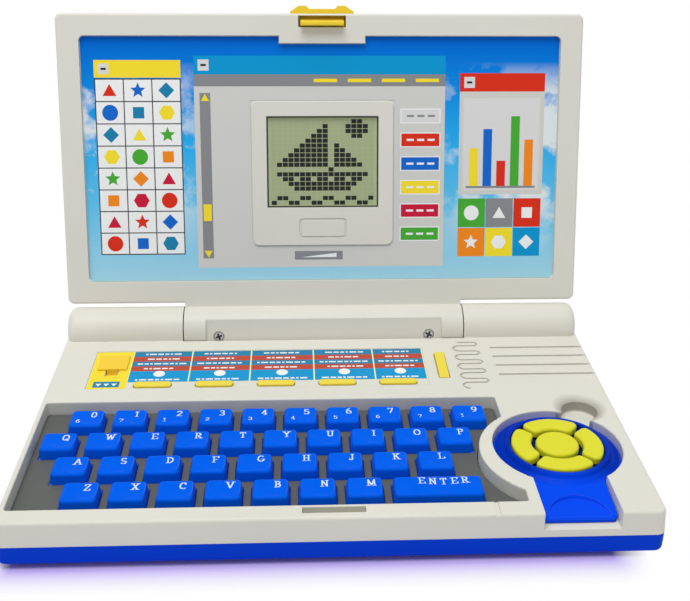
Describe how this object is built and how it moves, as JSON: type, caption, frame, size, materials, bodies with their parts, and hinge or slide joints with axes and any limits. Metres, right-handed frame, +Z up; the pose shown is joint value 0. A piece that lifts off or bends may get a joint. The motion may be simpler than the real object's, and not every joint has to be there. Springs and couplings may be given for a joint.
{
  "type": "toy laptop computer",
  "caption": "Toy laptop with a folding lid and display, a well of pressing keys, deck buttons, a sliding selector and a lift-out mouse with a button pad.",
  "frame": {"origin": "middle of the base in plan, on the surface it stands on", "axes": "+X to the typist's right along the hinge, +Y away from the typist, +Z up"},
  "size_m": [0.246, 0.1991, 0.1666],
  "materials": {
    "deck_white": "satin",
    "tray_blue": "satin",
    "plate_grey": "matte",
    "mat_rubber": "matte",
    "board_green": "matte",
    "lid_white": "satin",
    "back_white": "satin",
    "lcd_glass": "gloss",
    "latch_yellow": "gloss",
    "mouse_blue": "gloss",
    "selector_yellow": "gloss",
    "button_yellow": "gloss",
    "key_blue": "gloss",
    "pad_yellow": "satin"
  },
  "bodies": {
    "base": {"base_top_case": "deck_white", "base_bottom_case": "tray_blue", "keyboard_plate": "plate_grey", "battery_door": "tray_blue", "key_mat": "mat_rubber", "electronics": "board_green"},
    "lid": {"lid_front_bezel": "lid_white", "lid_back_cover": "back_white", "lcd_panel": "lcd_glass"},
    "latch": {"lid_latch": "latch_yellow"},
    "mouse": {"mouse_case": "mouse_blue"},
    "key_0": {"key_0": "key_blue"},
    "key_1": {"key_1": "key_blue"},
    "key_2": {"key_2": "key_blue"},
    "key_3": {"key_3": "key_blue"},
    "key_4": {"key_4": "key_blue"},
    "key_5": {"key_5": "key_blue"},
    "key_6": {"key_6": "key_blue"},
    "key_7": {"key_7": "key_blue"},
    "key_8": {"key_8": "key_blue"},
    "key_9": {"key_9": "key_blue"},
    "key_q": {"key_q": "key_blue"},
    "key_w": {"key_w": "key_blue"},
    "key_e": {"key_e": "key_blue"},
    "key_r": {"key_r": "key_blue"},
    "key_t": {"key_t": "key_blue"},
    "key_y": {"key_y": "key_blue"},
    "key_u": {"key_u": "key_blue"},
    "key_i": {"key_i": "key_blue"},
    "key_o": {"key_o": "key_blue"},
    "key_p": {"key_p": "key_blue"},
    "key_a": {"key_a": "key_blue"},
    "key_s": {"key_s": "key_blue"},
    "key_d": {"key_d": "key_blue"},
    "key_f": {"key_f": "key_blue"},
    "key_g": {"key_g": "key_blue"},
    "key_h": {"key_h": "key_blue"},
    "key_j": {"key_j": "key_blue"},
    "key_k": {"key_k": "key_blue"},
    "key_l": {"key_l": "key_blue"},
    "key_z": {"key_z": "key_blue"},
    "key_x": {"key_x": "key_blue"},
    "key_c": {"key_c": "key_blue"},
    "key_v": {"key_v": "key_blue"},
    "key_b": {"key_b": "key_blue"},
    "key_n": {"key_n": "key_blue"},
    "key_m": {"key_m": "key_blue"},
    "key_enter": {"key_enter": "key_blue"},
    "pad_centre": {"pad_centre": "pad_yellow"},
    "pad_up": {"pad_up": "pad_yellow"},
    "pad_right": {"pad_right": "pad_yellow"},
    "pad_down": {"pad_down": "pad_yellow"},
    "pad_left": {"pad_left": "pad_yellow"},
    "mode_button_1": {"mode_button_1": "button_yellow"},
    "mode_button_2": {"mode_button_2": "button_yellow"},
    "mode_button_3": {"mode_button_3": "button_yellow"},
    "mode_button_4": {"mode_button_4": "button_yellow"},
    "mode_button_5": {"mode_button_5": "button_yellow"},
    "power_button": {"power_button": "button_yellow"},
    "mode_selector": {"mode_selector": "selector_yellow"}
  },
  "joints": [
    {"name": "lid_hinge", "type": "hinge", "parent": "base", "child": "lid", "pos_m": [0, 0.069, 0.021], "axis": [-1, 0, 0], "range_deg": [-105.7, 9]},
    {"name": "latch_slide", "type": "slide", "parent": "lid", "child": "latch", "axis": [0, 0.2706, 0.9627], "range_m": [0, 0.001]},
    {"name": "mouse_lift", "type": "slide", "parent": "base", "child": "mouse", "axis": [0, 0, 1], "range_m": [0, 0.03]},
    {"name": "selector_slide", "type": "slide", "parent": "base", "child": "mode_selector", "axis": [0, -1, 0], "range_m": [0, 0.0044]},
    {"name": "power_press", "type": "slide", "parent": "base", "child": "power_button", "axis": [0, 0, -1], "range_m": [0, 0.0012], "stiffness_N_per_m": 500, "springref_m": -0.001},
    {"name": "mode_button_1_press", "type": "slide", "parent": "base", "child": "mode_button_1", "axis": [0, 0, -1], "range_m": [0, 0.001], "stiffness_N_per_m": 500, "springref_m": -0.001},
    {"name": "mode_button_2_press", "type": "slide", "parent": "base", "child": "mode_button_2", "axis": [0, 0, -1], "range_m": [0, 0.001], "stiffness_N_per_m": 500, "springref_m": -0.001},
    {"name": "mode_button_3_press", "type": "slide", "parent": "base", "child": "mode_button_3", "axis": [0, 0, -1], "range_m": [0, 0.001], "stiffness_N_per_m": 500, "springref_m": -0.001},
    {"name": "mode_button_4_press", "type": "slide", "parent": "base", "child": "mode_button_4", "axis": [0, 0, -1], "range_m": [0, 0.001], "stiffness_N_per_m": 500, "springref_m": -0.001},
    {"name": "mode_button_5_press", "type": "slide", "parent": "base", "child": "mode_button_5", "axis": [0, 0, -1], "range_m": [0, 0.001], "stiffness_N_per_m": 500, "springref_m": -0.001},
    {"name": "key_0_press", "type": "slide", "parent": "base", "child": "key_0", "axis": [0, 0, -1], "range_m": [0, 0.0018], "stiffness_N_per_m": 300, "springref_m": -0.001},
    {"name": "key_1_press", "type": "slide", "parent": "base", "child": "key_1", "axis": [0, 0, -1], "range_m": [0, 0.0018], "stiffness_N_per_m": 300, "springref_m": -0.001},
    {"name": "key_2_press", "type": "slide", "parent": "base", "child": "key_2", "axis": [0, 0, -1], "range_m": [0, 0.0018], "stiffness_N_per_m": 300, "springref_m": -0.001},
    {"name": "key_3_press", "type": "slide", "parent": "base", "child": "key_3", "axis": [0, 0, -1], "range_m": [0, 0.0018], "stiffness_N_per_m": 300, "springref_m": -0.001},
    {"name": "key_4_press", "type": "slide", "parent": "base", "child": "key_4", "axis": [0, 0, -1], "range_m": [0, 0.0018], "stiffness_N_per_m": 300, "springref_m": -0.001},
    {"name": "key_5_press", "type": "slide", "parent": "base", "child": "key_5", "axis": [0, 0, -1], "range_m": [0, 0.0018], "stiffness_N_per_m": 300, "springref_m": -0.001},
    {"name": "key_6_press", "type": "slide", "parent": "base", "child": "key_6", "axis": [0, 0, -1], "range_m": [0, 0.0018], "stiffness_N_per_m": 300, "springref_m": -0.001},
    {"name": "key_7_press", "type": "slide", "parent": "base", "child": "key_7", "axis": [0, 0, -1], "range_m": [0, 0.0018], "stiffness_N_per_m": 300, "springref_m": -0.001},
    {"name": "key_8_press", "type": "slide", "parent": "base", "child": "key_8", "axis": [0, 0, -1], "range_m": [0, 0.0018], "stiffness_N_per_m": 300, "springref_m": -0.001},
    {"name": "key_9_press", "type": "slide", "parent": "base", "child": "key_9", "axis": [0, 0, -1], "range_m": [0, 0.0018], "stiffness_N_per_m": 300, "springref_m": -0.001},
    {"name": "key_q_press", "type": "slide", "parent": "base", "child": "key_q", "axis": [0, 0, -1], "range_m": [0, 0.0018], "stiffness_N_per_m": 300, "springref_m": -0.001},
    {"name": "key_w_press", "type": "slide", "parent": "base", "child": "key_w", "axis": [0, 0, -1], "range_m": [0, 0.0018], "stiffness_N_per_m": 300, "springref_m": -0.001},
    {"name": "key_e_press", "type": "slide", "parent": "base", "child": "key_e", "axis": [0, 0, -1], "range_m": [0, 0.0018], "stiffness_N_per_m": 300, "springref_m": -0.001},
    {"name": "key_r_press", "type": "slide", "parent": "base", "child": "key_r", "axis": [0, 0, -1], "range_m": [0, 0.0018], "stiffness_N_per_m": 300, "springref_m": -0.001},
    {"name": "key_t_press", "type": "slide", "parent": "base", "child": "key_t", "axis": [0, 0, -1], "range_m": [0, 0.0018], "stiffness_N_per_m": 300, "springref_m": -0.001},
    {"name": "key_y_press", "type": "slide", "parent": "base", "child": "key_y", "axis": [0, 0, -1], "range_m": [0, 0.0018], "stiffness_N_per_m": 300, "springref_m": -0.001},
    {"name": "key_u_press", "type": "slide", "parent": "base", "child": "key_u", "axis": [0, 0, -1], "range_m": [0, 0.0018], "stiffness_N_per_m": 300, "springref_m": -0.001},
    {"name": "key_i_press", "type": "slide", "parent": "base", "child": "key_i", "axis": [0, 0, -1], "range_m": [0, 0.0018], "stiffness_N_per_m": 300, "springref_m": -0.001},
    {"name": "key_o_press", "type": "slide", "parent": "base", "child": "key_o", "axis": [0, 0, -1], "range_m": [0, 0.0018], "stiffness_N_per_m": 300, "springref_m": -0.001},
    {"name": "key_p_press", "type": "slide", "parent": "base", "child": "key_p", "axis": [0, 0, -1], "range_m": [0, 0.0018], "stiffness_N_per_m": 300, "springref_m": -0.001},
    {"name": "key_a_press", "type": "slide", "parent": "base", "child": "key_a", "axis": [0, 0, -1], "range_m": [0, 0.0018], "stiffness_N_per_m": 300, "springref_m": -0.001},
    {"name": "key_s_press", "type": "slide", "parent": "base", "child": "key_s", "axis": [0, 0, -1], "range_m": [0, 0.0018], "stiffness_N_per_m": 300, "springref_m": -0.001},
    {"name": "key_d_press", "type": "slide", "parent": "base", "child": "key_d", "axis": [0, 0, -1], "range_m": [0, 0.0018], "stiffness_N_per_m": 300, "springref_m": -0.001},
    {"name": "key_f_press", "type": "slide", "parent": "base", "child": "key_f", "axis": [0, 0, -1], "range_m": [0, 0.0018], "stiffness_N_per_m": 300, "springref_m": -0.001},
    {"name": "key_g_press", "type": "slide", "parent": "base", "child": "key_g", "axis": [0, 0, -1], "range_m": [0, 0.0018], "stiffness_N_per_m": 300, "springref_m": -0.001},
    {"name": "key_h_press", "type": "slide", "parent": "base", "child": "key_h", "axis": [0, 0, -1], "range_m": [0, 0.0018], "stiffness_N_per_m": 300, "springref_m": -0.001},
    {"name": "key_j_press", "type": "slide", "parent": "base", "child": "key_j", "axis": [0, 0, -1], "range_m": [0, 0.0018], "stiffness_N_per_m": 300, "springref_m": -0.001},
    {"name": "key_k_press", "type": "slide", "parent": "base", "child": "key_k", "axis": [0, 0, -1], "range_m": [0, 0.0018], "stiffness_N_per_m": 300, "springref_m": -0.001},
    {"name": "key_l_press", "type": "slide", "parent": "base", "child": "key_l", "axis": [0, 0, -1], "range_m": [0, 0.0018], "stiffness_N_per_m": 300, "springref_m": -0.001},
    {"name": "key_z_press", "type": "slide", "parent": "base", "child": "key_z", "axis": [0, 0, -1], "range_m": [0, 0.0018], "stiffness_N_per_m": 300, "springref_m": -0.001},
    {"name": "key_x_press", "type": "slide", "parent": "base", "child": "key_x", "axis": [0, 0, -1], "range_m": [0, 0.0018], "stiffness_N_per_m": 300, "springref_m": -0.001},
    {"name": "key_c_press", "type": "slide", "parent": "base", "child": "key_c", "axis": [0, 0, -1], "range_m": [0, 0.0018], "stiffness_N_per_m": 300, "springref_m": -0.001},
    {"name": "key_v_press", "type": "slide", "parent": "base", "child": "key_v", "axis": [0, 0, -1], "range_m": [0, 0.0018], "stiffness_N_per_m": 300, "springref_m": -0.001},
    {"name": "key_b_press", "type": "slide", "parent": "base", "child": "key_b", "axis": [0, 0, -1], "range_m": [0, 0.0018], "stiffness_N_per_m": 300, "springref_m": -0.001},
    {"name": "key_n_press", "type": "slide", "parent": "base", "child": "key_n", "axis": [0, 0, -1], "range_m": [0, 0.0018], "stiffness_N_per_m": 300, "springref_m": -0.001},
    {"name": "key_m_press", "type": "slide", "parent": "base", "child": "key_m", "axis": [0, 0, -1], "range_m": [0, 0.0018], "stiffness_N_per_m": 300, "springref_m": -0.001},
    {"name": "key_enter_press", "type": "slide", "parent": "base", "child": "key_enter", "axis": [0, 0, -1], "range_m": [0, 0.0018], "stiffness_N_per_m": 300, "springref_m": -0.001},
    {"name": "pad_centre_press", "type": "slide", "parent": "mouse", "child": "pad_centre", "axis": [0, 0, -1], "range_m": [0, 0.001], "stiffness_N_per_m": 300, "springref_m": -0.001},
    {"name": "pad_up_press", "type": "slide", "parent": "mouse", "child": "pad_up", "axis": [0, 0, -1], "range_m": [0, 0.001], "stiffness_N_per_m": 300, "springref_m": -0.001},
    {"name": "pad_right_press", "type": "slide", "parent": "mouse", "child": "pad_right", "axis": [0, 0, -1], "range_m": [0, 0.001], "stiffness_N_per_m": 300, "springref_m": -0.001},
    {"name": "pad_down_press", "type": "slide", "parent": "mouse", "child": "pad_down", "axis": [0, 0, -1], "range_m": [0, 0.001], "stiffness_N_per_m": 300, "springref_m": -0.001},
    {"name": "pad_left_press", "type": "slide", "parent": "mouse", "child": "pad_left", "axis": [0, 0, -1], "range_m": [0, 0.001], "stiffness_N_per_m": 300, "springref_m": -0.001}
  ]
}
